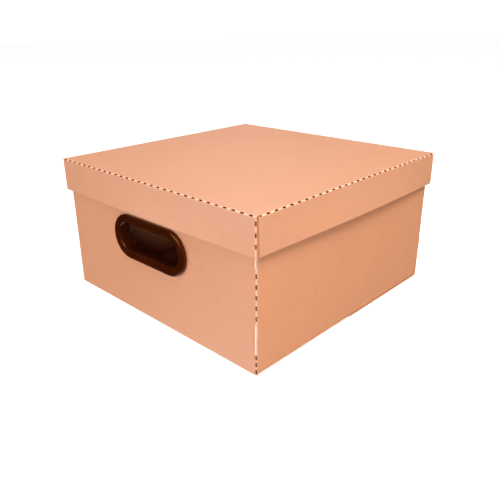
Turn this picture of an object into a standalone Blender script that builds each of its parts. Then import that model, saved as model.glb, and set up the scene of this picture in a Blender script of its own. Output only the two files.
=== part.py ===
"""Square fold-up storage box of plastic sheet, with a lift-off lid and a snap-in hand grip in two walls.

Metres, +Z up. The origin is the centre of the underside. The walls with the grips look along -Y (front) and
+Y (back), the plain walls along -X (left) and +X (right). Body and lid are each one die-cut sheet, folded.
Every panel between two folds is its own object. A fold's outer corner is rounded on the panel that carries
it.
"""

import math

import bmesh
import bpy

# Sheet
SHEET = 0.0018  # thickness of the plastic sheet
GAP = 0.0003  # play kept between faces that touch
FOLD_RADIUS = 0.0015  # outer radius of a fold
FOLD_STEPS = 3

# Outer size
LID_SIDE = 0.293
HEIGHT = 0.150
SKIRT_DROP = 0.035  # height of the lid's skirt
BODY_SIDE = 0.284

# Right-hand body corners: along two long slits, the edge of the front or back wall springs out as a lip
LIP_HEIGHTS = ((0.0225, 0.0510), (0.1035, 0.1135))
LIP_RUN = 0.0050  # from where the wall starts to bend to its cut edge
LIP_EDGE = 0.0007  # how far the cut edge stands beyond the fold line
LIP_ROOT = 0.0004  # how far a lip's solid starts inside its wall
LIP_TURN = math.radians(13)

# Lid corners
SKIRT_SETBACK = 0.0030  # the left and right skirts stop this far short of the corner
LID_FLAP_REACH = 0.0335  # radius of the quarter-round flap behind a side skirt
FLAP_ARC_STEPS = 8

# Seam of the body's wrap, at the back left corner: the left wall ends in a flap behind the back wall
SEAM_FLAP_LENGTH = 0.036
SEAM_FLAP_CHAMFER = 0.012
SEAM_SETBACK = 0.0006

# Base
SIDE_FLAP_LENGTH = 0.075
SIDE_FLAP_CHAMFER = 0.020
BASE_EDGE_INSET = 0.0005
LOCK_HALF_WIDTH = 0.040
LOCK_REACH = 0.032
LOCK_RAMP = 0.007
LOCK_SLOT = 0.0015
LOCK_TAPER = 0.008

# Hand grips
GRIP_Z = 0.0866  # height of the grip's centre
GRIP_OPENING = (0.0928, 0.0292)  # clear width and height
FLANGE_WIDTH = 0.0090
FLANGE_PROUD = 0.0044
TUBE_WALL = 0.0015
TUBE_DEPTH = 0.0095  # how far the tube reaches behind the wall's outer face
GRIP_ARC_STEPS = 14
BARB_LENGTH = 0.014
BARB_HEIGHT = 0.0014
BARB_RUN = 0.0035
BARB_X = 0.020
BARB_BLUNT = 0.0001  # height of the barb's thin end
# The flange's face: its rim by distance inwards from the edge, its throat by distance outwards from the
# opening and its dish by share of the width, each with its share of how far the flange stands proud
RIM_PROFILE = ((0.0, 0.65), (0.0004, 0.88), (0.0014, 1.0), (0.0024, 0.98))
THROAT_PROFILE = ((0.0012, 0.75), (0.0004, 0.66), (0.0, 0.5))
DISH = (0.5, 0.84)
CUTTER_REACH = 0.01

HALF_BODY = BODY_SIDE / 2
HALF_LID = LID_SIDE / 2
INNER_BODY = HALF_BODY - SHEET
INNER_LID = HALF_LID - SHEET
LID_UNDERSIDE = HEIGHT - SHEET
RIM = LID_UNDERSIDE - GAP
WALL_TOP = RIM - SHEET - GAP  # top of the side walls, under their turned-over rims
UPPER_LAYER = SHEET + GAP  # underside of the base's second layer
ABOVE_BASE = 2 * UPPER_LAYER
OPENING_RADIUS = GRIP_OPENING[1] / 2
OPENING_STRAIGHT = GRIP_OPENING[0] / 2 - OPENING_RADIUS


def material(name, colour, roughness):
    made = bpy.data.materials.new(name)
    made.use_nodes = True
    shader = made.node_tree.nodes["Principled BSDF"]
    shader.inputs["Base Color"].default_value = (*colour, 1.0)
    shader.inputs["Roughness"].default_value = roughness
    shader.inputs["Metallic"].default_value = 0.0
    made.diffuse_color = (*colour, 1.0)
    return made


def add_object(name, mesh_data, finish=None):
    """Puts a bmesh into the scene as a named object, with its faces turned outwards."""
    bmesh.ops.recalc_face_normals(mesh_data, faces=mesh_data.faces)
    mesh = bpy.data.meshes.new(name)
    mesh_data.to_mesh(mesh)
    mesh_data.free()
    obj = bpy.data.objects.new(name, mesh)
    bpy.context.scene.collection.objects.link(obj)
    if finish:
        mesh.materials.append(finish)
    return obj


def to_world(axis, across, along):
    """A point from its two coordinates across an extrusion and the one along it."""
    first, second = across
    return {"X": (along, first, second), "Y": (first, along, second), "Z": (first, second, along)}[axis]


def prism(outline, axis, low, high):
    """A bmesh of an outline extruded along an axis.

    The outline lists the other two coordinates in X, Y, Z order.
    """
    shape = bmesh.new()
    base = [shape.verts.new(to_world(axis, point, low)) for point in outline]
    face = shape.faces.new(base)
    grown = bmesh.ops.extrude_face_region(shape, geom=[face])
    step = to_world(axis, (0, 0), high - low)
    verts = [item for item in grown["geom"] if isinstance(item, bmesh.types.BMVert)]
    bmesh.ops.translate(shape, vec=step, verts=verts)
    return shape


def box(low, high):
    outline = [(low[0], low[1]), (high[0], low[1]), (high[0], high[1]), (low[0], high[1])]
    return prism(outline, "Z", low[2], high[2])


def round_edges(shape, chosen):
    """Rounds the edges for which chosen(first point, second point) is true."""
    edges = [edge for edge in shape.edges if chosen(edge.verts[0].co, edge.verts[1].co)]
    bmesh.ops.bevel(
        shape, geom=edges, offset=FOLD_RADIUS, segments=FOLD_STEPS, affect="EDGES", profile=0.5
    )


def near(value, target):
    return abs(value - target) < 1e-6


def wall_end(edge, with_lips):
    """One upright edge of a front or back wall, from the floor up, cut back where its lips take over."""
    points = [(edge, 0.0)]
    if with_lips:
        root = math.copysign(INNER_BODY + LIP_EDGE - LIP_RUN, edge)
        for low, high in LIP_HEIGHTS:
            points += [(edge, low), (root, low), (root, high), (edge, high)]
    return points + [(edge, RIM)]


def lip(facing, low, high):
    """The sprung edge at the right-hand end of a front or back wall, turned outwards about its root."""
    outline = [
        (-LIP_ROOT, low + GAP),
        (LIP_RUN, low + GAP),
        (LIP_RUN, high - GAP),
        (-LIP_ROOT, high - GAP),
    ]
    shape = prism(outline, "Y", -SHEET / 2, SHEET / 2)
    for vert in shape.verts:
        across = vert.co.x * math.cos(LIP_TURN) - vert.co.y * math.sin(LIP_TURN)
        outwards = vert.co.x * math.sin(LIP_TURN) + vert.co.y * math.cos(LIP_TURN)
        vert.co.x = INNER_BODY + LIP_EDGE - LIP_RUN + across
        vert.co.y = facing * (HALF_BODY - SHEET / 2 + outwards)
    return shape


def join_on(target, name, shape):
    """Joins a closed shape onto an object with an exact Boolean."""
    helper = add_object(target.name + name + "_helper", shape)
    helper.hide_render = True
    helper.display_type = "WIRE"
    join = target.modifiers.new(name, "BOOLEAN")
    join.operation = "UNION"
    join.solver = "EXACT"
    join.object = helper


def end_wall(left, facing):
    """A front wall (facing -1) or back wall (facing 1), with its folds rounded and room for its lips."""
    outer_y = facing * HALF_BODY
    inner_y = facing * INNER_BODY
    outline = wall_end(HALF_BODY, True) + wall_end(left, False)[::-1]
    shape = prism(outline, "Y", min(outer_y, inner_y), max(outer_y, inner_y))

    def on_fold(a, b):
        if not (near(a.y, outer_y) and near(b.y, outer_y)):
            return False
        upright = near(a.x, b.x) and (near(a.x, HALF_BODY) or near(a.x, -HALF_BODY))
        return upright or (near(a.z, 0) and near(b.z, 0))

    round_edges(shape, on_fold)
    return shape


def side_wall(side):
    """A left wall (side -1) or right wall (side 1), between the front and back walls."""
    end = INNER_BODY - GAP
    low, high = sorted((side * HALF_BODY, side * INNER_BODY))
    shape = box((low, -end, UPPER_LAYER), (high, end, WALL_TOP))
    seam = side < 0

    def on_fold(a, b):
        if not (near(a.x, side * HALF_BODY) and near(b.x, side * HALF_BODY)):
            return False
        if seam and near(a.y, end) and near(b.y, end):
            return True
        return near(a.z, UPPER_LAYER) and near(b.z, UPPER_LAYER)

    round_edges(shape, on_fold)
    return shape


def stadium(radius):
    """The outline of the grip at a given radius of its round ends, as x and z."""
    points = []
    for side in (1, -1):
        for step in range(GRIP_ARC_STEPS + 1):
            turn = math.pi * (step / GRIP_ARC_STEPS - 0.5)
            x = side * (OPENING_STRAIGHT + radius * math.cos(turn))
            points.append((x, GRIP_Z + side * radius * math.sin(turn)))
    return points


def cut_grip_hole(wall, wall_y):
    """Cuts the hole that the grip's tube passes through."""
    outline = stadium(OPENING_RADIUS + TUBE_WALL + GAP)
    hole = prism(outline, "Y", wall_y - CUTTER_REACH, wall_y + CUTTER_REACH)
    cutter = add_object(wall.name + "_hole_cutter", hole)
    cutter.hide_render = True
    cutter.display_type = "WIRE"
    cut = wall.modifiers.new("grip hole", "BOOLEAN")
    cut.operation = "DIFFERENCE"
    cut.solver = "EXACT"
    cut.object = cutter


def grip_profile():
    """The grip's section, as distance outwards from the opening and in front of the wall's outer face."""
    tube = [(0.0, -TUBE_DEPTH), (TUBE_WALL, -TUBE_DEPTH), (TUBE_WALL, GAP), (FLANGE_WIDTH, GAP)]
    rim = [(FLANGE_WIDTH - inwards, FLANGE_PROUD * share) for inwards, share in RIM_PROFILE]
    dish = [(FLANGE_WIDTH * DISH[0], FLANGE_PROUD * DISH[1])]
    throat = [(outwards, FLANGE_PROUD * share) for outwards, share in THROAT_PROFILE]
    return tube + rim + dish + throat


def grip(name, finish, facing):
    """A grip as a section swept round the opening. facing is -1 on the front wall and 1 on the back wall."""
    shape = bmesh.new()
    loops = []
    for outwards, in_front in grip_profile():
        y = facing * (HALF_BODY + in_front)
        ring = stadium(OPENING_RADIUS + outwards)
        loops.append([shape.verts.new((x, y, z)) for x, z in ring])
    for loop, following in zip(loops, loops[1:] + loops[:1]):
        count = len(loop)
        for i in range(count):
            j = (i + 1) % count
            shape.faces.new((loop[i], loop[j], following[j], following[i]))
    made = add_object(name, shape, finish)
    for side in (-1, 1):
        for up in (-1, 1):
            add_barb(made, facing, side * BARB_X, up)
    return made


def add_barb(grip_object, facing, centre_x, up):
    """Joins on a wedge that clicks behind the wall. It stands on the tube's upper or lower side."""
    root = OPENING_RADIUS + TUBE_WALL / 2
    shoulder = HALF_BODY - SHEET - GAP
    crest = root + TUBE_WALL / 2 + BARB_HEIGHT
    foot = shoulder - BARB_RUN
    section = [(shoulder, root), (shoulder, crest), (foot, root + TUBE_WALL / 2 + BARB_BLUNT), (foot, root)]
    outline = [(facing * y, GRIP_Z + up * z) for y, z in section]
    low = centre_x - BARB_LENGTH / 2
    join_on(grip_object, "_barb", prism(outline, "X", low, low + BARB_LENGTH))


def body_walls(finish):
    """The four walls of the wrap, and the seam flap that closes it behind the back wall."""
    front = add_object("wall_front", end_wall(-HALF_BODY, -1), finish)
    back = add_object("wall_back", end_wall(-HALF_BODY + SEAM_SETBACK, 1), finish)
    for low, high in LIP_HEIGHTS:
        join_on(front, "_lip", lip(-1, low, high))
        join_on(back, "_lip", lip(1, low, high))
    cut_grip_hole(front, -HALF_BODY)
    cut_grip_hole(back, HALF_BODY)
    add_object("wall_right", side_wall(1), finish)
    add_object("wall_left", side_wall(-1), finish)

    start = -(INNER_BODY - GAP)
    end = start + SEAM_FLAP_LENGTH
    chamfer = SEAM_FLAP_CHAMFER
    outline = [(start, ABOVE_BASE), (end, ABOVE_BASE + chamfer), (end, RIM - chamfer), (start, RIM)]
    seam_y = INNER_BODY - GAP
    add_object("seam_flap", prism(outline, "Y", seam_y - SHEET, seam_y), finish)


def double_sides(finish):
    """The left and right walls turn over at the top: a narrow rim, then an inner wall down to the base."""
    front_y = -(INNER_BODY - GAP)
    for name, side in (("left", -1), ("right", 1)):
        back_y = -front_y - (SHEET + GAP if side < 0 else 0)
        inner_x = INNER_BODY - GAP - SHEET
        low, high = sorted((side * inner_x, side * HALF_BODY))
        rim = box((low, front_y, RIM - SHEET), (high, back_y, RIM))
        round_edges(rim, lambda a, b: near(a.z, RIM) and near(b.z, RIM) and near(a.x, b.x))
        add_object("rim_" + name, rim, finish)
        low, high = sorted((side * inner_x, side * (inner_x + SHEET)))
        inner = box((low, front_y, ABOVE_BASE), (high, back_y, WALL_TOP))
        add_object("inner_wall_" + name, inner, finish)


def base_flaps(finish):
    """Front and back flaps that meet in the middle, and the side flaps that lie on them."""
    reach = HALF_BODY - BASE_EDGE_INSET
    hinge = INNER_BODY - GAP
    front = box((-reach, -hinge, 0), (reach, -GAP / 2, SHEET))
    add_object("base_flap_front", front, finish)
    back_flap(finish, reach, hinge)

    inner = hinge - SIDE_FLAP_LENGTH
    narrow = hinge - SIDE_FLAP_CHAMFER
    for name, side in (("base_flap_left", -1), ("base_flap_right", 1)):
        outline = [
            (side * hinge, -hinge),
            (side * hinge, hinge),
            (side * inner, narrow),
            (side * inner, -narrow),
        ]
        if side < 0:
            outline.reverse()
        flap = prism(outline, "Z", UPPER_LAYER, UPPER_LAYER + SHEET)
        add_object(name, flap, finish)


def back_flap(finish, reach, hinge):
    """The back base flap: a sheet whose middle steps up over the front flap as a locking tongue."""
    ramp_start = LOCK_RAMP + 2 * LOCK_SLOT
    ramp_end = ramp_start - LOCK_RAMP
    half = LOCK_HALF_WIDTH
    slot = half + LOCK_SLOT
    shape = bmesh.new()

    def point(x, y, z=0.0):
        return shape.verts.new((x, y, z))

    left_root, right_root = point(-half, ramp_start), point(half, ramp_start)
    plate = [
        point(-reach, GAP / 2),
        point(-slot, GAP / 2),
        point(-slot, ramp_start),
        left_root,
        right_root,
        point(slot, ramp_start),
        point(slot, GAP / 2),
        point(reach, GAP / 2),
        point(reach, hinge),
        point(-reach, hinge),
    ]
    left_top, right_top = point(-half, ramp_end, UPPER_LAYER), point(half, ramp_end, UPPER_LAYER)
    tip_half = half - LOCK_TAPER
    left_tip = point(-tip_half, ramp_end - LOCK_REACH, UPPER_LAYER)
    right_tip = point(tip_half, ramp_end - LOCK_REACH, UPPER_LAYER)
    shape.faces.new(plate)
    shape.faces.new((left_root, left_top, right_top, right_root))
    shape.faces.new((left_top, left_tip, right_tip, right_top))
    for face in shape.faces:
        face.normal_update()
        if face.normal.z < 0:
            face.normal_flip()
    mesh = bpy.data.meshes.new("base_flap_back")
    shape.to_mesh(mesh)
    shape.free()
    mesh.materials.append(finish)
    flap = bpy.data.objects.new("base_flap_back", mesh)
    bpy.context.scene.collection.objects.link(flap)
    thicken = flap.modifiers.new("sheet", "SOLIDIFY")
    thicken.thickness = SHEET
    thicken.offset = 1.0
    thicken.use_even_offset = True


def hinge_empty(name, place):
    """An empty on the line about which a lid skirt folds."""
    empty = bpy.data.objects.new(name, None)
    empty.location = place
    empty.empty_display_size = 0.02
    bpy.context.scene.collection.objects.link(empty)
    return empty


def hang_on(pieces, empty):
    for piece in pieces:
        piece.parent = empty
        piece.matrix_parent_inverse = empty.matrix_world.inverted()


def lid_flap(name, finish, side, end):
    """The quarter-round flap at one end of the front or back skirt, standing behind a side skirt."""
    radius = LID_FLAP_REACH
    inner = GAP
    top = 2 * GAP
    start = math.asin(top / radius)
    stop = math.pi / 2 - math.asin(inner / radius)
    turn = (stop - start) / FLAP_ARC_STEPS
    arc = [start + turn * step for step in range(FLAP_ARC_STEPS + 1)]
    outline = [(inner, -top)] + [(radius * math.cos(a), -radius * math.sin(a)) for a in arc]
    placed = [(-end * (y - INNER_LID), LID_UNDERSIDE + z) for y, z in outline]
    outer_x = INNER_LID - GAP
    low, high = sorted((side * outer_x, side * (outer_x - SHEET)))
    return add_object(name, prism(placed, "X", low, high), finish)


def lid(finish):
    """The lid's top panel, its four skirts and the corner flaps of the front and back skirts."""
    reach = INNER_LID - GAP / 2
    add_object("lid_top", box((-reach, -reach, LID_UNDERSIDE), (reach, reach, HEIGHT)), finish)
    low_z = HEIGHT - SKIRT_DROP
    high_z = LID_UNDERSIDE - GAP / 2

    for end, word in ((-1, "front"), (1, "back")):
        half = INNER_LID - GAP
        low_y, high_y = sorted((end * HALF_LID, end * INNER_LID))
        skirt = box((-half, low_y, low_z), (half, high_y, high_z))
        outer_y = end * HALF_LID
        round_edges(skirt, lambda a, b, y=outer_y: near(a.y, y) and near(b.y, y) and near(a.x, b.x))
        pieces = [add_object("lid_skirt_" + word, skirt, finish)]
        for side, side_word in ((-1, "left"), (1, "right")):
            pieces.append(lid_flap(f"lid_flap_{word}_{side_word}", finish, side, end))
        empty = hinge_empty(f"lid_skirt_{word}_fold", (0, end * INNER_LID, LID_UNDERSIDE))
        bpy.context.view_layer.update()
        hang_on(pieces, empty)

    for side, word in ((-1, "left"), (1, "right")):
        half = HALF_LID - SKIRT_SETBACK
        low_x, high_x = sorted((side * HALF_LID, side * INNER_LID))
        skirt = add_object("lid_skirt_" + word, box((low_x, -half, low_z), (high_x, half, high_z)), finish)
        empty = hinge_empty(f"lid_skirt_{word}_fold", (side * INNER_LID, 0, LID_UNDERSIDE))
        bpy.context.view_layer.update()
        hang_on([skirt], empty)


def main():
    for obj in list(bpy.data.objects):
        bpy.data.objects.remove(obj, do_unlink=True)
    lid_sheet = material("lid_sheet", (0.68, 0.31, 0.17), 0.5)
    body_sheet = material("body_sheet", (0.66, 0.29, 0.155), 0.5)
    grip_plastic = material("grip_plastic", (0.10, 0.022, 0.008), 0.18)
    body_walls(body_sheet)
    double_sides(body_sheet)
    base_flaps(body_sheet)
    grip("grip_front", grip_plastic, -1)
    grip("grip_back", grip_plastic, 1)
    lid(lid_sheet)


main()
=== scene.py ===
"""A square fold-up storage box of embossed plastic sheet, with a lift-off lid and two glossy hand grips.

Every panel between two folds is a sheet of its own. The folds between them are strips cut through at
intervals: the slits open as dashes, darkened by painted shade on their walls, and the sheet left between
them is stretched pale.
Metres, +Z up, front wall at -Y.
"""

import math

import bmesh
import bpy
from mathutils import Matrix, Vector
from mathutils.geometry import tessellate_polygon


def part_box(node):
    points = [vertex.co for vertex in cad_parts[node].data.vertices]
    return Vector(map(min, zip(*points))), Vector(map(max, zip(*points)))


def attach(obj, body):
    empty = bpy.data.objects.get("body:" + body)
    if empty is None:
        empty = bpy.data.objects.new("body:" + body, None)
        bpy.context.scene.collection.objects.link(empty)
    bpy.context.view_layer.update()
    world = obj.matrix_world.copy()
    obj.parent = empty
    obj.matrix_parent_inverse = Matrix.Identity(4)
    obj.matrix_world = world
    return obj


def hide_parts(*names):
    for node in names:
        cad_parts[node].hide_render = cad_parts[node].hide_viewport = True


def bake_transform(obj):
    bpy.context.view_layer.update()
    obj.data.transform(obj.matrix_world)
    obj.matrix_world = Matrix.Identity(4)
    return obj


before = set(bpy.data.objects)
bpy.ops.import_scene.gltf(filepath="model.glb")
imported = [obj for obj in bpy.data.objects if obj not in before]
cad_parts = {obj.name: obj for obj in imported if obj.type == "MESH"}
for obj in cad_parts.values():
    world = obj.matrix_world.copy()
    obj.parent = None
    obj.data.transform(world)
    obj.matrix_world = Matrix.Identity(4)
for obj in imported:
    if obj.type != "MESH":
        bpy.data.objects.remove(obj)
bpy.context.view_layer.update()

QUARTER = math.pi / 2
X = Vector((1, 0, 0))
Y = Vector((0, 1, 0))
Z = Vector((0, 0, 1))

# The frame's sizes
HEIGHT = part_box("lid_top")[1].z
LID_FOLD_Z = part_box("lid_top")[0].z  # the lid's folds turn about the edges of its underside
SHEET = HEIGHT - LID_FOLD_Z
HALF_LID = -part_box("lid_skirt_front")[0].y
LID_FOLD = HALF_LID - SHEET
SKIRT_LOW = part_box("lid_skirt_front")[0].z
SIDE_SKIRT_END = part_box("lid_skirt_right")[1].y
FLAP_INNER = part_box("lid_flap_front_right")[0].x
FLAP_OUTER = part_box("lid_flap_front_right")[1].x
FLAP_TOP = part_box("lid_flap_front_right")[1].z
HALF_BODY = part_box("wall_right")[1].x
BODY_FOLD = HALF_BODY - SHEET
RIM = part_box("wall_front")[1].z
RIM_FOLD = RIM - SHEET
UPPER_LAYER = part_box("base_flap_right")[0].z
SIDE_FOLD_Z = UPPER_LAYER + SHEET

NEAR = 1e-6  # two lengths that differ by less are the same

# Sheet details
EDGE_ROUND = 0.00022  # the rounded corner along a cut edge, in the cut edge's colour, which is partly a painted highlight
SKIRT_BOW = 0.0025  # how far the middle of a skirt's lower edge stands out
SKIRT_TAPER = 0.0006  # how much a side skirt's end draws back at its lower corner
SLIT_OPENING = math.radians(48)  # the part of a fold's quarter-round that a slit opens
FOLD_INNER = 0.0001  # how far a fold's inner face stays off its hinge line

# Long slits in the body's corners. On the right, the end wall's edge springs outwards along them.
LONG_SLITS = {"lower": (0.0225, 0.0510), "upper": (0.1035, 0.1135)}
LONG_SLIT_SHARE = 0.25  # how far a long slit opens where nothing springs
LIP_RUN = 0.0050  # from where the wall starts to bend to its cut edge
SLIT_EDGE = 0.0007  # how far the sheet runs on beyond the fold line to a long slit
LIP_LIFT = {  # how far the edge stands out at its lower and upper end, and over what height it gets there
    ("front", "lower"): (0.0012, 0.0007, 0.0006, 0.0060),
    ("front", "upper"): (0.0010, 0.0008, 0.0006, 0.0030),
    ("back", "lower"): (0.0008, 0.0017, 0.0080, 0.0020),
    ("back", "upper"): (0.0010, 0.0010, 0.0020, 0.0020),
}


# ---------------------------------------------------------------- materials


def new_material(name, roughness):
    made = bpy.data.materials.new(name)
    made.use_nodes = True
    shader = made.node_tree.nodes["Principled BSDF"]
    shader.inputs["Roughness"].default_value = roughness
    return made, made.node_tree, shader


def texture_noise(tree, scale, stretch=(1, 1, 1), detail=2.0):
    """A noise fixed to the box. scale is its count per metre, and stretch lengthens it along an axis."""
    place = tree.nodes.new("ShaderNodeTexCoord")
    mapping = tree.nodes.new("ShaderNodeMapping")
    mapping.inputs["Scale"].default_value = [scale / s for s in stretch]
    tree.links.new(place.outputs["Object"], mapping.inputs["Vector"])
    noise = tree.nodes.new("ShaderNodeTexNoise")
    noise.inputs["Scale"].default_value = 1.0
    noise.inputs["Detail"].default_value = detail
    tree.links.new(mapping.outputs["Vector"], noise.inputs["Vector"])
    return noise.outputs["Fac"]


def maths(tree, operation, *values, clamp=False):
    node = tree.nodes.new("ShaderNodeMath")
    node.operation = operation
    node.use_clamp = clamp
    for socket, value in zip(node.inputs, values):
        if isinstance(value, (int, float)):
            socket.default_value = value
        else:
            tree.links.new(value, socket)
    return node.outputs[0]


def mix_colour(tree, share, first, second):
    node = tree.nodes.new("ShaderNodeMix")
    node.data_type = "RGBA"
    for socket, value in ((node.inputs[0], share), (node.inputs[6], first), (node.inputs[7], second)):
        if isinstance(value, (int, float)):
            socket.default_value = value
        elif isinstance(value, tuple):
            socket.default_value = (*value, 1.0)
        else:
            tree.links.new(value, socket)
    return node.outputs[2]


def bump(tree, shader, height, distance, strength=1.0):
    node = tree.nodes.new("ShaderNodeBump")
    node.inputs["Distance"].default_value = distance
    node.inputs["Strength"].default_value = strength
    tree.links.new(height, node.inputs["Height"])
    tree.links.new(node.outputs["Normal"], shader.inputs["Normal"])


THREAD_COUNT = 1300  # threads per metre
THREAD_LENGTH = 22  # how many times longer than wide a thread's light or dark stretch is


def linen(tree):
    """The emboss: threads along each of the three axes, so that every panel shows a warp and a weft."""
    along = THREAD_LENGTH
    stretches = ((along, 1, 1), (1, along, 1), (1, 1, along))
    threads = [texture_noise(tree, THREAD_COUNT, stretch) for stretch in stretches]
    return maths(tree, "ADD", maths(tree, "ADD", threads[0], threads[1]), threads[2])


def sheet_material(name, deep, light, pale):
    """Embossed polypropylene. The mesh attribute "pale" whitens the stretched crown of a fold."""
    made, tree, shader = new_material(name, 0.46)
    shader.inputs["Specular IOR Level"].default_value = 1.0
    threads = linen(tree)
    cloth = maths(tree, "MULTIPLY_ADD", threads, 1.9, -2.35)  # spreads the threads' tones over 0 to 1
    cloud = texture_noise(tree, 14, detail=3.0)
    tone = maths(tree, "ADD", maths(tree, "MULTIPLY", cloth, 0.45), maths(tree, "MULTIPLY", cloud, 0.55))
    colour = mix_colour(tree, tone, deep, light)
    crown = tree.nodes.new("ShaderNodeAttribute")
    crown.attribute_name = "pale"
    uneven = maths(tree, "ADD", texture_noise(tree, 420), 0.45)
    share = maths(tree, "MULTIPLY", crown.outputs["Fac"], uneven, clamp=True)
    tree.links.new(mix_colour(tree, share, colour, pale), shader.inputs["Base Color"])
    height = maths(tree, "ADD", threads, maths(tree, "MULTIPLY", cloud, 14.0))
    bump(tree, shader, height, 0.00006, 0.7)
    return made


def plain_material(name, first, second, roughness, grain, relief):
    """A finish that wavers between two colours, with a fine grain."""
    made, tree, shader = new_material(name, roughness)
    noise = texture_noise(tree, grain, detail=3.0)
    tree.links.new(mix_colour(tree, noise, first, second), shader.inputs["Base Color"])
    bump(tree, shader, noise, relief)
    return made


def grip_material():
    """Polished copper-brown moulding, a little uneven."""
    made, tree, shader = new_material("grip_plastic", 0.09)
    cloud = texture_noise(tree, 60, detail=2.0)
    colour = mix_colour(tree, cloud, (0.030, 0.0042, 0.0006), (0.052, 0.0088, 0.0014))
    tree.links.new(colour, shader.inputs["Base Color"])
    shader.inputs["Specular IOR Level"].default_value = 0.8
    shader.inputs["Specular Tint"].default_value = (1.0, 0.36, 0.12, 1.0)
    bump(tree, shader, texture_noise(tree, 220), 0.00002)
    return made


LID_SHEET = sheet_material("lid_sheet", (0.62, 0.274, 0.148), (0.69, 0.322, 0.184), (0.84, 0.50, 0.35))
BODY_SHEET = sheet_material("body_sheet", (0.63, 0.262, 0.131), (0.70, 0.310, 0.166), (0.86, 0.50, 0.34))
# The cut edges are lighter than the sheet: partly the rough-cut sheet's own colour, partly a painted
# highlight where the edges catch the light.
LID_CUT_AND_HIGHLIGHT = plain_material("lid_cut_edge_and_highlight", (0.66, 0.29, 0.155), (0.72, 0.34, 0.19), 0.6, 900, 0.00002)
BODY_CUT_AND_HIGHLIGHT = plain_material("body_cut_edge", (0.94, 0.62, 0.46), (0.98, 0.70, 0.54), 0.6, 900, 0.00002)
# Painted shade: the walls inside the slits get a dark brown with no reflection, standing in for the shade
# that falls into them.
SLIT_SHADE = plain_material("slit_painted_shade", (0.10, 0.025, 0.010), (0.16, 0.045, 0.018), 0.9, 700, 0.00003)
SLIT_SHADE.node_tree.nodes["Principled BSDF"].inputs["Specular IOR Level"].default_value = 0.0
GRIP = grip_material()
FINISHES = {
    "lid_sheet": (LID_SHEET, LID_CUT_AND_HIGHLIGHT, SLIT_SHADE),
    "body_sheet": (BODY_SHEET, BODY_CUT_AND_HIGHLIGHT, SLIT_SHADE),
    "grip_plastic": (GRIP,),
}
# The last of these finishes is the painted slit shade.
SHEET_FACE, CUT_AND_HIGHLIGHT_FACE, SLIT_SHADE_FACE = 0, 1, 2


# ---------------------------------------------------------------- sheets


def finish_piece(name, shape, slot, body, nodes=(), smooth=35.0):
    """Turns a bmesh into a piece that rides on a body and stands for the given CAD nodes."""
    bmesh.ops.recalc_face_normals(shape, faces=shape.faces)
    mesh = bpy.data.meshes.new(name)
    shape.to_mesh(mesh)
    shape.free()
    piece = bpy.data.objects.new(name, mesh)
    bpy.context.scene.collection.objects.link(piece)
    for finish in FINISHES[slot]:
        mesh.materials.append(finish)
    mesh.shade_smooth()
    mesh.set_sharp_from_angle(angle=math.radians(smooth))
    if body:
        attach(piece, body)
    if nodes:
        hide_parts(*nodes)
    return piece


def spread(low, high, steps, cut_low=False, cut_high=False):
    """Grid lines from low to high, with one more beside each cut end for the edge's round."""
    lines = [low + (high - low) * i / steps for i in range(steps + 1)]
    if cut_low:
        lines.insert(1, low + EDGE_ROUND)
    if cut_high:
        lines.insert(-1, high - EDGE_ROUND)
    return lines


def slab(name, us, vs, place, cut, slot, body, nodes=()):
    """A closed sheet on a grid. place(u, v, depth) gives a point, with depth 0 on the outer face.

    cut names the sides that are raw cuts: l and r at the first and last u, b and t at the first and last v.
    """
    shape = bmesh.new()
    last_u, last_v = len(us) - 1, len(vs) - 1

    def rounding(i, j):
        on_cut = ("l" in cut and i == 0) or ("r" in cut and i == last_u)
        on_cut = on_cut or ("b" in cut and j == 0) or ("t" in cut and j == last_v)
        return EDGE_ROUND if on_cut else 0.0

    outer, inner = {}, {}
    for i, u in enumerate(us):
        for j, v in enumerate(vs):
            round_by = rounding(i, j)
            outer[i, j] = shape.verts.new(place(u, v, round_by))
            inner[i, j] = shape.verts.new(place(u, v, SHEET - round_by))
    for i in range(last_u):
        for j in range(last_v):
            corners = ((i, j), (i + 1, j), (i + 1, j + 1), (i, j + 1))
            rounded = any(rounding(*corner) for corner in corners)
            for layer in (outer, inner):
                face = shape.faces.new([layer[corner] for corner in corners])
                # Rounded cells along a cut edge take the cut edge's colour, partly a painted highlight.
                face.material_index = CUT_AND_HIGHLIGHT_FACE if rounded else SHEET_FACE
    rim = [(i, 0) for i in range(last_u)] + [(last_u, j) for j in range(last_v)]
    rim += [(i, last_v) for i in range(last_u, 0, -1)] + [(0, j) for j in range(last_v, 0, -1)]
    for here, there in zip(rim, rim[1:] + rim[:1]):
        face = shape.faces.new((outer[here], outer[there], inner[there], inner[here]))
        face.material_index = CUT_AND_HIGHLIGHT_FACE
    return finish_piece(name, shape, slot, body, nodes)


def inset_corner(before, corner, after, back, ahead):
    """Where two sides of a left-turning outline meet once each has moved inwards by its own distance."""
    first = (corner - before).normalized()
    second = (after - corner).normalized()
    first_in, second_in = Vector((-first.y, first.x)), Vector((-second.y, second.x))
    spread_of = first_in.x * second_in.y - first_in.y * second_in.x
    if abs(spread_of) < NEAR:
        return corner + first_in * back
    x = (back * second_in.y - ahead * first_in.y) / spread_of
    y = (ahead * first_in.x - back * second_in.x) / spread_of
    return corner + Vector((x, y))


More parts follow.
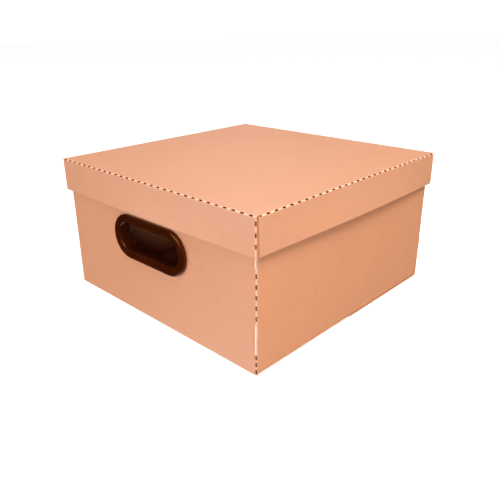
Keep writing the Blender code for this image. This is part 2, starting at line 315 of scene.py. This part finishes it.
def plate(name, loops, place, slot, body, nodes=(), folds=None, shaded=None):
    """A closed sheet from its outline, left-turning, and any holes, right-turning.

    folds(a, b) says whether the side from a to b runs on into a fold, where there is no cut edge to round,
    and shaded(a, b) whether it lies inside a slit, where its cut faces get the painted slit shade.
    """
    shape = bmesh.new()
    rings = {"outer": [], "outer_edge": [], "inner_edge": [], "inner": []}
    sides = []
    flat = []
    slit_shade_sides = set()
    for loop in loops:
        points = [Vector(p) for p in loop]
        count = len(points)
        pairs = list(zip(points, points[1:] + points[:1]))
        by = [0.0 if folds and folds(*pair) else EDGE_ROUND for pair in pairs]
        inset = [
            inset_corner(points[i - 1], points[i], points[(i + 1) % count], by[i - 1], by[i])
            for i in range(count)
        ]
        start = len(flat)
        flat.extend(Vector((p.x, p.y, 0)) for p in inset)
        for ring, where, depth in (
            ("outer", inset, 0.0),
            ("outer_edge", points, EDGE_ROUND),
            ("inner_edge", points, SHEET - EDGE_ROUND),
            ("inner", inset, SHEET),
        ):
            rings[ring].extend(shape.verts.new(place(p.x, p.y, depth)) for p in where)
        sides.extend((start + i, start + (i + 1) % count) for i in range(count))
        slit_shade_sides.update(start + i for i, pair in enumerate(pairs) if shaded and shaded(*pair))
    parts, start = [], 0
    for loop in loops:
        parts.append(flat[start : start + len(loop)])
        start += len(loop)
    for triangle in tessellate_polygon(parts):
        for ring in ("outer", "inner"):
            shape.faces.new([rings[ring][i] for i in triangle])
    order = list(rings.values())
    for a, b in sides:
        for near, far in zip(order, order[1:]):
            face = shape.faces.new((near[a], near[b], far[b], far[a]))
            # Cut faces inside a slit get the painted slit shade.
            in_slit_shade = a in slit_shade_sides and near is not rings["outer"]
            face.material_index = SLIT_SHADE_FACE if in_slit_shade else CUT_AND_HIGHLIGHT_FACE
    return finish_piece(name, shape, slot, body, nodes)


CREST = math.radians(45)
BRIDGE_STEPS = (0.0, 0.15, 0.5, 0.85)
SLIT_STEPS = (0.0, 0.06, 0.18, 0.5, 0.82, 0.94)
SLIT_CELLS = range(4, 8)  # the cells across a fold that a slit leaves open
SLIT_END = 0.45  # how wide a slit is at its two ends, as a share of its middle
PALE_BY_SLIT = 0.7  # how pale a fold is beside a slit, as a share of the sheet between slits


def dashes(first, pitch, count, length):
    """The slits of a skip-cut fold as (start, end, width), from the centre of the first one."""
    centres = [first + pitch * i for i in range(count)]
    return [(c - length / 2, c + length / 2, 1.0) for c in centres]


def slit_share(place):
    """A slit's opening along its length, from 0 to 1 through it, with rounded ends."""
    return max(SLIT_END, (1 - abs(2 * place - 1) ** 5) ** 0.4)


def fold(
    name,
    hinge,
    along,
    start,
    end,
    spans,
    slot,
    body=None,
    crown=3.0,
    radius=SHEET,
    turn=QUARTER,
    wide=1.0,
):
    """A strip of sheet round a hinge line, turning from the start direction through the end direction.

    spans lists its stretches as (low, high, slits, angle of their crest), measured along the hinge. crown
    narrows the pale ridge, and wide widens the slits.
    """
    shape = bmesh.new()
    pale = {}
    for low, high, slits, crest in spans:
        lines = fold_lines(low, high, slits)
        layers = {}
        for i, (distance, share) in enumerate(lines):
            beside_slit = share > 0 or lines[i - 1][1] > 0
            for j, angle in enumerate(fold_angles((share or slit_share(0.0)) * wide, turn, crest)):
                direction = start * math.cos(angle) + end * math.sin(angle)
                ridge = max(0.0, math.cos(2 * (angle - crest))) ** crown
                if beside_slit:
                    ridge *= PALE_BY_SLIT
                for layer, reach in (("outer", radius), ("inner", FOLD_INNER)):
                    vert = shape.verts.new(hinge + along * distance + direction * reach)
                    layers[layer, i, j] = vert
                    pale[vert] = ridge if layer == "outer" else 0.0
        skin_fold(shape, layers, lines)
    loose = [vert for vert in shape.verts if not vert.link_faces]
    for vert in loose:
        del pale[vert]
    bmesh.ops.delete(shape, geom=loose, context="VERTS")
    values = [pale[vert] for vert in shape.verts]
    piece = finish_piece(name, shape, slot, body, smooth=50.0)
    attribute = piece.data.attributes.new("pale", "FLOAT", "POINT")
    attribute.data.foreach_set("value", values)
    return piece


def fold_angles(share, turn, crest):
    """The angles across a fold. The slit on its crest has this share of the full opening."""
    half = SLIT_OPENING / 2 * share
    low, high = crest - half, crest + half
    before = [low * step for step in (0.0, 0.35, 0.65, 0.85, 1.0)]
    after = [high + (turn - high) * step for step in (0.0, 0.15, 0.35, 0.65, 1.0)]
    return before + [crest - half / 2, crest, crest + half / 2] + after


def fold_lines(low, high, slits):
    """The lines across a fold as (distance, share of the opening), with no share where no slit follows."""
    lines = []
    position = low
    for slit_low, slit_high, width in slits:
        lines += [(position + (slit_low - position) * step, 0.0) for step in BRIDGE_STEPS]
        length = slit_high - slit_low
        lines += [(slit_low + length * step, width * slit_share(step)) for step in SLIT_STEPS]
        position = slit_high
    lines += [(position + (high - position) * step, 0.0) for step in BRIDGE_STEPS]
    return lines + [(high, 0.0)]


def skin_fold(shape, layers, lines):
    """Closes the two layers of a fold into sheet, with walls round its outline and round each slit. The
    walls round a slit get painted shade.
    """
    last_i, last_j = len(lines) - 1, len(fold_angles(1.0, QUARTER, CREST)) - 1

    def inside(i, j):
        return 0 <= i < last_i and 0 <= j < last_j

    def solid(i, j):
        return inside(i, j) and not (lines[i][1] > 0 and j in SLIT_CELLS)

    for i in range(last_i):
        for j in range(last_j):
            if not solid(i, j):
                continue
            corners = ((i, j), (i + 1, j), (i + 1, j + 1), (i, j + 1))
            for layer in ("outer", "inner"):
                shape.faces.new([layers[layer, *corner] for corner in corners])
            beside = ((i, j - 1), (i + 1, j), (i, j + 1), (i - 1, j))
            for k, neighbour in enumerate(beside):
                if solid(*neighbour):
                    continue
                a, b = corners[k], corners[(k + 1) % 4]
                spots = (("outer", *a), ("outer", *b), ("inner", *b), ("inner", *a))
                ring = [layers[spot] for spot in spots]
                # A wall beside an open slit cell gets the painted slit shade.
                shape.faces.new(ring).material_index = SLIT_SHADE_FACE if inside(*neighbour) else CUT_AND_HIGHLIGHT_FACE


# ---------------------------------------------------------------- lid

LID_PITCH = 0.00965
LID_SLIT = 0.0041
LID_SLITS = 30  # in each fold round the top
END_FIRST_SLIT = 0.0026  # from the first slit of an end skirt's fold out to the flap's inner face
SIDE_FIRST_SLIT = 0.00235  # from the first slit of a side skirt's fold out to the end skirt's fold line
FLAP_SLITS = 3
FLAP_FIRST_SLIT = 0.0236  # from the lowest slit between a skirt and its flap up to the top fold
FLAP_CROWN = 0.0011  # outer radius of the fold between an end skirt and its flap
FLAP_CREST = 0.0010  # how far that fold stands outside the flap's own plane
FLAP_TURN = math.radians(125)
SIDES = {"left": -1, "right": 1}
ENDS = {"front": -1, "back": 1}


def build_lid_top():
    lines = spread(-LID_FOLD, LID_FOLD, 12)

    def place(u, v, depth):
        return Vector((u, v, HEIGHT - depth))

    slab("lid_top_panel", lines, lines, place, "", "lid_sheet", "lid", ["lid_top"])


def skirt_bow(along, half, z):
    """How far a skirt stands out: nothing at its fold and its ends, most in the middle of its lower edge."""
    drop = (LID_FOLD_Z - z) / (LID_FOLD_Z - SKIRT_LOW)
    return SKIRT_BOW * math.cos(QUARTER * along / half) * drop**1.3


def build_end_skirt(word, end):
    """The front or back skirt, its upright folds and its corner flaps."""
    body = "lid_skirt_" + word
    half = FLAP_OUTER + FLAP_CREST - FLAP_CROWN

    def place(u, v, depth):
        return Vector((u, end * (HALF_LID - depth + skirt_bow(u, half, v)), v))

    lines = spread(-half, half, 28)
    heights = spread(SKIRT_LOW, LID_FOLD_Z, 8, cut_low=True)
    slab(body + "_panel", lines, heights, place, "b", "lid_sheet", body, [body])
    slits = dashes(LID_FOLD_Z - FLAP_FIRST_SLIT, LID_PITCH, FLAP_SLITS, LID_SLIT)
    for side_word, side in SIDES.items():
        fold(
            f"{body}_{side_word}_fold",
            Vector((side * half, end * (HALF_LID - FLAP_CROWN), 0)),
            Z,
            Y * end,
            X * side,
            [(SKIRT_LOW, LID_FOLD_Z, slits, CREST)],
            "lid_sheet",
            body,
            crown=4.0,
            radius=FLAP_CROWN,
            turn=FLAP_TURN,
            wide=1.6,
        )
        build_flap(word, end, side_word, side)
    hinge = Vector((0, end * LID_FOLD, LID_FOLD_Z))
    top_fold(word, hinge, X, Y * end, half + FLAP_CROWN, FLAP_INNER - END_FIRST_SLIT)


def build_flap(word, end, side_word, side):
    node = f"lid_flap_{word}_{side_word}"
    radius = LID_FOLD_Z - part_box(node)[0].z
    top = LID_FOLD_Z - FLAP_TOP
    first = math.asin(top / radius)
    steps = 14
    arc = [first + (QUARTER - first) * i / steps for i in range(steps + 1)]
    outline = [(0.0, -top)] + [(radius * math.cos(a), -radius * math.sin(a)) for a in arc]
    outline.reverse()

    def place(u, v, depth):
        return Vector((side * (FLAP_OUTER - depth), end * (LID_FOLD - u), LID_FOLD_Z + v))

    def folds(a, b):
        return abs(a.x) < NEAR and abs(b.x) < NEAR

    plate(node + "_panel", [outline], place, "lid_sheet", "lid_skirt_" + word, [node], folds)


def build_side_skirt(word, side):
    body = "lid_skirt_" + word
    half = SIDE_SKIRT_END

    def place(u, v, depth):
        drop = (LID_FOLD_Z - v) / (LID_FOLD_Z - SKIRT_LOW)
        along = u * (1 - SKIRT_TAPER / half * drop)
        return Vector((side * (HALF_LID - depth + skirt_bow(u, half, v)), along, v))

    lines = spread(-half, half, 28, cut_low=True, cut_high=True)
    heights = spread(SKIRT_LOW, LID_FOLD_Z, 8, cut_low=True)
    slab(body + "_panel", lines, heights, place, "lrb", "lid_sheet", body, [body])
    hinge = Vector((side * LID_FOLD, 0, LID_FOLD_Z))
    top_fold(word, hinge, Y, X * side, half, LID_FOLD - SIDE_FIRST_SLIT)


def top_fold(word, hinge, along, outwards, half, first):
    """The skip-cut fold between the lid's top and a skirt."""
    slits = dashes(-first, LID_PITCH, LID_SLITS, LID_SLIT)
    piece = fold(
        f"lid_{word}_fold",
        hinge,
        along,
        Z,
        outwards,
        [(-half, half, slits, CREST)],
        "lid_sheet",
        crown=4.5,
    )
    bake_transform(piece)


def build_lid():
    build_lid_top()
    for word, end in ENDS.items():
        build_end_skirt(word, end)
    for word, side in SIDES.items():
        build_side_skirt(word, side)


# ---------------------------------------------------------------- body


def stadium(centre_z, straight, radius, steps):
    """Points of a round-ended outline as (x, z), turning left."""
    points = []
    for side in (1, -1):
        for i in range(steps + 1):
            turn = math.pi * (i / steps - 0.5)
            across = straight + radius * math.cos(turn)
            points.append((side * across, centre_z + side * radius * math.sin(turn)))
    return points


GRIP_LOW, GRIP_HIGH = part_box("grip_front")
GRIP_Z = (GRIP_LOW.z + GRIP_HIGH.z) / 2
GRIP_RADIUS = (GRIP_HIGH.z - GRIP_LOW.z) / 2
GRIP_STRAIGHT = GRIP_HIGH.x - GRIP_RADIUS
FLANGE_WIDTH = 0.0090
TUBE_WALL = 0.0015
OPENING_RADIUS = GRIP_RADIUS - FLANGE_WIDTH
GRIP_FRONT = -GRIP_LOW.y - HALF_BODY  # how far the flange stands proud of the wall
TUBE_DEPTH = HALF_BODY + GRIP_HIGH.y
HOLE_PLAY = 0.0003


def build_end_wall(word, end):
    """The front or back wall, with the hole for its grip and the edges that spring out as lips."""
    low_x = -BODY_FOLD if end < 0 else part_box("wall_back")[0].x
    root = BODY_FOLD + SLIT_EDGE - LIP_RUN
    outline = [(low_x, SHEET), (BODY_FOLD, SHEET)]
    for low, high in LONG_SLITS.values():
        outline += [(BODY_FOLD, low), (root, low), (root, high), (BODY_FOLD, high)]
    outline += [(BODY_FOLD, RIM), (low_x, RIM)]
    hole = stadium(GRIP_Z, GRIP_STRAIGHT, OPENING_RADIUS + TUBE_WALL + HOLE_PLAY, 24)[::-1]

    def place(u, v, depth):
        return Vector((u, end * (HALF_BODY - depth), v))

    def folds(a, b):
        return max(a.x, b.x) > 0 if max(a.y, b.y) < RIM - NEAR else a.y + b.y < 2 * (RIM - NEAR)

    node = "wall_" + word
    plate(node + "_panel", [outline, hole], place, "body_sheet", "box", [node], folds)
    for level, heights in LONG_SLITS.items():
        build_lip(f"lip_{word}_{level}", end, root, heights, LIP_LIFT[word, level])


LIP_STEPS = (0.0, 0.1, 0.25, 0.45, 0.7, 1.0)  # the levels where a lip rises, as shares of its taper


def build_lip(name, end, root, heights, lift):
    """The edge of an end wall beside a long slit, sprung outwards."""
    low, high = heights
    lift_low, lift_high, taper_low, taper_high = lift

    def stand(v):
        share = (v - low) / (high - low)
        rise = min(1.0, (v - low) / taper_low) * min(1.0, (high - v) / taper_high)
        return (lift_low + (lift_high - lift_low) * share) * math.sin(QUARTER * rise)

    def place(u, v, depth):
        bend = u / LIP_RUN
        slope = 2 * stand(v) * bend / LIP_RUN
        outwards = HALF_BODY + stand(v) * bend**2 - depth
        return Vector((root + u + depth * slope, end * outwards, v))

    lines = spread(0.0, LIP_RUN, 8, cut_high=True)
    levels = [low + taper_low * step for step in LIP_STEPS]
    levels += [high - taper_high * step for step in reversed(LIP_STEPS)]
    slab(name, lines, levels, place, "r", "body_sheet", "box")


def build_side_wall(word, side):
    """A side wall. On the right, its ends run on beside the long slits."""
    back = BODY_FOLD if side > 0 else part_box("seam_flap")[0].y
    ends = [(-1, -BODY_FOLD), (1, back)]
    edges = []
    for direction, edge in ends:
        points = [(edge, SIDE_FOLD_Z)]
        for low, high in LONG_SLITS.values() if side > 0 else ():
            past = edge + direction * SLIT_EDGE
            points += [(edge, low), (past, low), (past, high), (edge, high)]
        edges.append(points + [(edge, RIM_FOLD)])
    outline = edges[1] + edges[0][::-1]

    def place(u, v, depth):
        return Vector((side * (HALF_BODY - depth), u, v))

    def folds(a, b):
        upright = abs(a.x - b.x) < NEAR and any(abs(a.x - edge) < NEAR for _, edge in ends)
        level = abs(a.y - b.y) < NEAR and (a.y < SIDE_FOLD_Z + NEAR or a.y > RIM_FOLD - NEAR)
        return upright or level

    # The ends beside the long slits get the painted slit shade.
    def shaded(a, b):
        return min(abs(a.x), abs(b.x)) > BODY_FOLD + SLIT_EDGE / 2

    node = "wall_" + word
    plate(node + "_panel", [outline], place, "body_sheet", "box", [node], folds, shaded)


def build_rim(word, side):
    """The top of a side wall, turned over into its inner wall."""
    node = "rim_" + word
    low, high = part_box(node)
    middle = side * (BODY_FOLD - HOLE_PLAY / 2)

    def place(u, turn, depth):
        reach = SHEET - depth
        across = side * math.cos(turn) * (reach + HOLE_PLAY / 2)
        return Vector((middle + across, u, RIM_FOLD + math.sin(turn) * reach))

    turns = [math.pi * i / 12 for i in range(13)]
    lines = spread(low.y, high.y, 6, cut_low=True, cut_high=True)
    slab(node + "_turn", lines, turns, place, "lr", "body_sheet", "box", [node])

    node = "inner_wall_" + word
    low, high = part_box(node)
    outline = [(low.y, low.z), (high.y, low.z), (high.y, RIM_FOLD), (low.y, RIM_FOLD)]
    face = low.x if side > 0 else high.x

    def place_inner(u, v, depth):
        return Vector((face + side * depth, u, v))

    def folds(a, b):
        return a.y + b.y > 2 * high.z

    plate(node + "_panel", [outline], place_inner, "body_sheet", "box", [node], folds)


CORNER_PITCH = 0.0098
CORNER_SLIT = 0.0044
FOOT_PITCH = 0.0070
FOOT_SLIT = 0.0045
FOOT_FIRST = 0.00485  # heights of the lowest slit below, between and above the long slits
MIDDLE_FIRST = 0.05725
TOP_FIRST = 0.1185
BODY_CREST = math.radians(38)
FOOT_CREST = math.radians(32)


def corner_spans(sprung):
    """The stretches of a body corner that are folds, with their slits. Sprung long slits interrupt them."""
    lower, upper = LONG_SLITS["lower"], LONG_SLITS["upper"]
    foot = dashes(FOOT_FIRST, FOOT_PITCH, 3, FOOT_SLIT)
    middle = dashes(MIDDLE_FIRST, CORNER_PITCH, 5, CORNER_SLIT)
    top = dashes(TOP_FIRST, CORNER_PITCH, 3, CORNER_SLIT)
    if sprung:
        return [
            (SHEET / 2, lower[0], foot, FOOT_CREST),
            (lower[1], upper[0], middle, BODY_CREST),
            (upper[1], RIM, top, BODY_CREST),
        ]
    closed = [[(low, high, LONG_SLIT_SHARE)] for low, high in (lower, upper)]
    return [(SHEET / 2, RIM_FOLD, foot + closed[0] + middle + closed[1] + top, CREST)]


def build_corners():
    for word, side_word in (("front", "right"), ("front", "left"), ("back", "right")):
        end, side = ENDS[word], SIDES[side_word]
        hinge = Vector((side * BODY_FOLD, end * BODY_FOLD, 0))
        name = f"corner_{word}_{side_word}_fold"
        fold(name, hinge, Z, Y * end, X * side, corner_spans(side > 0), "body_sheet", "box", crown=6.0)
    seam_fold_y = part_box("seam_flap")[0].y
    hinge = Vector((-BODY_FOLD, seam_fold_y, 0))
    fold("corner_seam_fold", hinge, Z, -X, Y, corner_spans(False), "body_sheet", "box", crown=6.0)


def build_base():
    for word, end in ENDS.items():
        hinge = Vector((0, end * BODY_FOLD, SHEET))
        span = [(-BODY_FOLD, BODY_FOLD, [], CREST)]
        fold(f"base_{word}_fold", hinge, X, Y * end, -Z, span, "body_sheet", "box")
    low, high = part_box("base_flap_front")
    outline = [(low.x, -BODY_FOLD), (high.x, -BODY_FOLD), (high.x, high.y), (low.x, high.y)]
    plate(
        "base_flap_front_panel",
        [outline],
        lambda u, v, d: Vector((u, v, d)),
        "body_sheet",
        "box",
        ["base_flap_front"],
        lambda a, b: a.y + b.y < 2 * (NEAR - BODY_FOLD),
    )
    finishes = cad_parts["base_flap_back"].data.materials
    finishes.clear()
    finishes.append(BODY_SHEET)
    for word, side in SIDES.items():
        build_side_flap(word, side)


SIDE_FLAP_CHAMFER = 0.020
SEAM_FLAP_CHAMFER = 0.012


def build_side_flap(word, side):
    node = "base_flap_" + word
    low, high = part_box(node)
    inner = min(abs(low.x), abs(high.x))
    reach = high.y
    tip = reach - SIDE_FLAP_CHAMFER
    outline = [(BODY_FOLD, -reach), (BODY_FOLD, reach), (inner, tip), (inner, -tip)]
    plate(
        node + "_panel",
        [outline],
        lambda u, v, d: Vector((side * u, v, UPPER_LAYER + d)),
        "body_sheet",
        "box",
        [node],
        lambda a, b: a.x + b.x > 2 * (BODY_FOLD - NEAR),
    )
    hinge = Vector((side * BODY_FOLD, 0, SIDE_FOLD_Z))
    fold(f"base_{word}_fold", hinge, Y, X * side, -Z, [(-reach, reach, [], CREST)], "body_sheet", "box")


def build_seam_flap():
    low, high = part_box("seam_flap")
    tip_low, tip_high = low.z + SEAM_FLAP_CHAMFER, high.z - SEAM_FLAP_CHAMFER
    outline = [(-BODY_FOLD, low.z), (high.x, tip_low), (high.x, tip_high), (-BODY_FOLD, high.z)]
    plate(
        "seam_flap_panel",
        [outline],
        lambda u, v, d: Vector((u, high.y - d, v)),
        "body_sheet",
        "box",
        ["seam_flap"],
        lambda a, b: a.x + b.x < 2 * (NEAR - BODY_FOLD),
    )


# ---------------------------------------------------------------- grips


def arc_points(centre, radius, first, last, steps):
    angles = [math.radians(first + (last - first) * i / steps) for i in range(steps + 1)]
    return [(centre[0] + radius * math.cos(a), centre[1] + radius * math.sin(a)) for a in angles]


MOUTH_RADIUS = 0.0009
MOUTH_FRONT = 0.0034  # how far the edge of the opening stands in front of the wall
MOUTH_LEVEL = 0.0002  # the flat between the mouth's round and the dish
RIM_RADIUS = 0.0015
RIM_LEVEL = 0.0003  # the flat between the dish and the rim's round
DISH_SWELL = 0.07  # how far the dish leaves a straight slope, as a share of its rise
DISH_STEPS = 14
FOOT_CHAMFER = 0.0003
TUBE_CHAMFER = 0.0004


def grip_section():
    """The grip's section as (outwards from the opening, in front of the wall), all the way round."""
    rim_centre = (FLANGE_WIDTH - RIM_RADIUS, GRIP_FRONT - RIM_RADIUS)
    mouth_centre = (MOUTH_RADIUS, MOUTH_FRONT - MOUTH_RADIUS)
    start = (mouth_centre[0] + MOUTH_LEVEL, MOUTH_FRONT)
    stop = (rim_centre[0] - RIM_LEVEL, GRIP_FRONT)
    dish = []
    for i in range(1, DISH_STEPS):
        share = i / DISH_STEPS
        rise = share + DISH_SWELL * math.sin(2 * math.pi * share)
        dish.append((start[0] + (stop[0] - start[0]) * share, start[1] + (stop[1] - start[1]) * rise))
    foot = [(FLANGE_WIDTH, HOLE_PLAY + FOOT_CHAMFER), (FLANGE_WIDTH - FOOT_CHAMFER, HOLE_PLAY)]
    tube_end = [
        (TUBE_WALL, TUBE_CHAMFER - TUBE_DEPTH),
        (TUBE_WALL - TUBE_CHAMFER, -TUBE_DEPTH),
        (TUBE_CHAMFER, -TUBE_DEPTH),
    ]
    return (
        [(0.0, TUBE_CHAMFER - TUBE_DEPTH)]
        + arc_points(mouth_centre, MOUTH_RADIUS, 180, 90, 6)
        + dish
        + arc_points(rim_centre, RIM_RADIUS, 90, 0, 8)
        + foot
        + [(TUBE_WALL, HOLE_PLAY)]
        + tube_end
    )


def build_grip(word, end):
    shape = bmesh.new()
    loops = []
    for outwards, in_front in grip_section():
        y = end * (HALF_BODY + in_front)
        ring = stadium(GRIP_Z, GRIP_STRAIGHT, OPENING_RADIUS + outwards, 32)
        loops.append([shape.verts.new((x, y, z)) for x, z in ring])
    for loop, following in zip(loops, loops[1:] + loops[:1]):
        for i, vert in enumerate(loop):
            j = (i + 1) % len(loop)
            shape.faces.new((vert, loop[j], following[j], following[i]))
    node = "grip_" + word
    finish_piece(node + "_moulding", shape, "grip_plastic", "box", [node], smooth=40.0)


def build_body():
    for word, end in ENDS.items():
        build_end_wall(word, end)
        build_grip(word, end)
    for word, side in SIDES.items():
        build_side_wall(word, side)
        build_rim(word, side)
    build_corners()
    build_base()
    build_seam_flap()


# ---------------------------------------------------------------- stage

CAMERA_AZIMUTH = math.radians(44.581)
CAMERA_ELEVATION = math.radians(21.657)
CAMERA_ROLL = math.radians(-0.776)
CAMERA_DISTANCE = 0.66576
CAMERA_OFFSET = (-0.01213, 0.04545)  # sideways and up from the line through the centre of the box's foot
CAMERA_LENS = 39.58
CAMERA_SHIFT = 0.02


def build_camera():
    lens = bpy.data.cameras.new("camera")
    lens.sensor_width = 36.0
    lens.lens = CAMERA_LENS
    lens.shift_x = CAMERA_SHIFT
    lens.shift_y = -CAMERA_SHIFT
    lens.clip_start = 0.01
    lens.clip_end = 50.0
    camera = bpy.data.objects.new("camera", lens)
    turn = (
        Matrix.Rotation(CAMERA_AZIMUTH, 4, "Z")
        @ Matrix.Rotation(QUARTER - CAMERA_ELEVATION, 4, "X")
        @ Matrix.Rotation(CAMERA_ROLL, 4, "Z")
    )
    camera.matrix_world = turn @ Matrix.Translation((*CAMERA_OFFSET, CAMERA_DISTANCE))
    bpy.context.scene.collection.objects.link(camera)
    bpy.context.scene.camera = camera


LIGHT_DISTANCE = 2.0
LIGHT_AIM = Vector((0, 0, 0.07))
LIGHTS = {  # azimuth and elevation in degrees, size in metres, power in watts
    "high_right": (90, 60, 1.0, 36.0),
    "high_front": (45, 60, 1.0, 12.0),
    "low_corner": (45, 8, 1.0, 27.0),
    "low_front": (-20, 6, 1.0, 19.0),
    "low_right": (90, 8, 1.0, 9.0),
    "high_behind": (225, 45, 1.0, 5.0),
    "low_back": (180, 8, 1.0, 24.0),
    "low_left": (270, 8, 1.0, 22.0),
    "under_front": (-45, -50, 1.4, 9.0),  # what a pale floor throws back up
}
NO_GLARE = ("low_corner", "low_right", "low_back", "low_left")  # too low to be mirrored in the lid
SKY = 0.15
SURROUND = 10.0
FLOOR_GAP = 0.0002


def area_light(name, azimuth, elevation, size, power):
    """A round soft light that looks at the box. Azimuth 0 is in front and 90 to the right."""
    lamp = bpy.data.lights.new(name, "AREA")
    lamp.shape = "DISK"
    lamp.size = size
    lamp.energy = power
    light = bpy.data.objects.new(name, lamp)
    turn, rise = math.radians(azimuth), math.radians(elevation)
    level = math.cos(rise)
    towards = Vector((math.sin(turn) * level, -math.cos(turn) * level, math.sin(rise)))
    light.location = LIGHT_AIM + towards * LIGHT_DISTANCE
    light.rotation_euler = towards.to_track_quat("Z", "Y").to_euler()
    light.visible_glossy = name not in NO_GLARE
    bpy.context.scene.collection.objects.link(light)


def only_seen(obj):
    """Keeps the floor or the backdrop out of the box's own light and reflections."""
    obj.visible_diffuse = False
    obj.visible_glossy = False
    obj.visible_transmission = False
    obj.visible_shadow = False


def build_floor():
    bpy.ops.mesh.primitive_plane_add(size=2 * SURROUND, location=(0, 0, -FLOOR_GAP))
    floor = bpy.context.active_object
    floor.name = "floor"
    made, _, shader = new_material("floor", 0.9)
    shader.inputs["Base Color"].default_value = (0.5, 0.5, 0.5, 1)
    shader.inputs["Specular IOR Level"].default_value = 0.0
    shader.inputs["Emission Color"].default_value = (1, 1, 1, 1)
    shader.inputs["Emission Strength"].default_value = 0.93
    floor.data.materials.append(made)
    only_seen(floor)


def build_backdrop():
    bpy.ops.mesh.primitive_uv_sphere_add(radius=SURROUND, segments=48, ring_count=24)
    backdrop = bpy.context.active_object
    backdrop.name = "backdrop"
    made, _, shader = new_material("backdrop", 1.0)
    shader.inputs["Base Color"].default_value = (0, 0, 0, 1)
    shader.inputs["Emission Color"].default_value = (1, 1, 1, 1)
    shader.inputs["Emission Strength"].default_value = 1.1
    backdrop.data.materials.append(made)
    only_seen(backdrop)


def build_world():
    """Dim light from above that fades to nothing at the horizon."""
    world = bpy.data.worlds.new("studio")
    world.use_nodes = True
    tree = world.node_tree
    direction = tree.nodes.new("ShaderNodeTexCoord").outputs["Generated"]
    parts = tree.nodes.new("ShaderNodeSeparateXYZ")
    tree.links.new(direction, parts.inputs[0])
    background = tree.nodes["Background"]
    background.inputs["Color"].default_value = (1, 1, 1, 1)
    strength = maths(tree, "MULTIPLY", maths(tree, "MAXIMUM", parts.outputs["Z"], 0.0), SKY)
    tree.links.new(strength, background.inputs["Strength"])
    bpy.context.scene.world = world


def build_stage():
    build_camera()
    build_floor()
    build_backdrop()
    build_world()
    for name, settings in LIGHTS.items():
        area_light(name, *settings)
    bpy.context.scene.view_settings.view_transform = "Standard"


build_lid()
build_body()
build_stage()
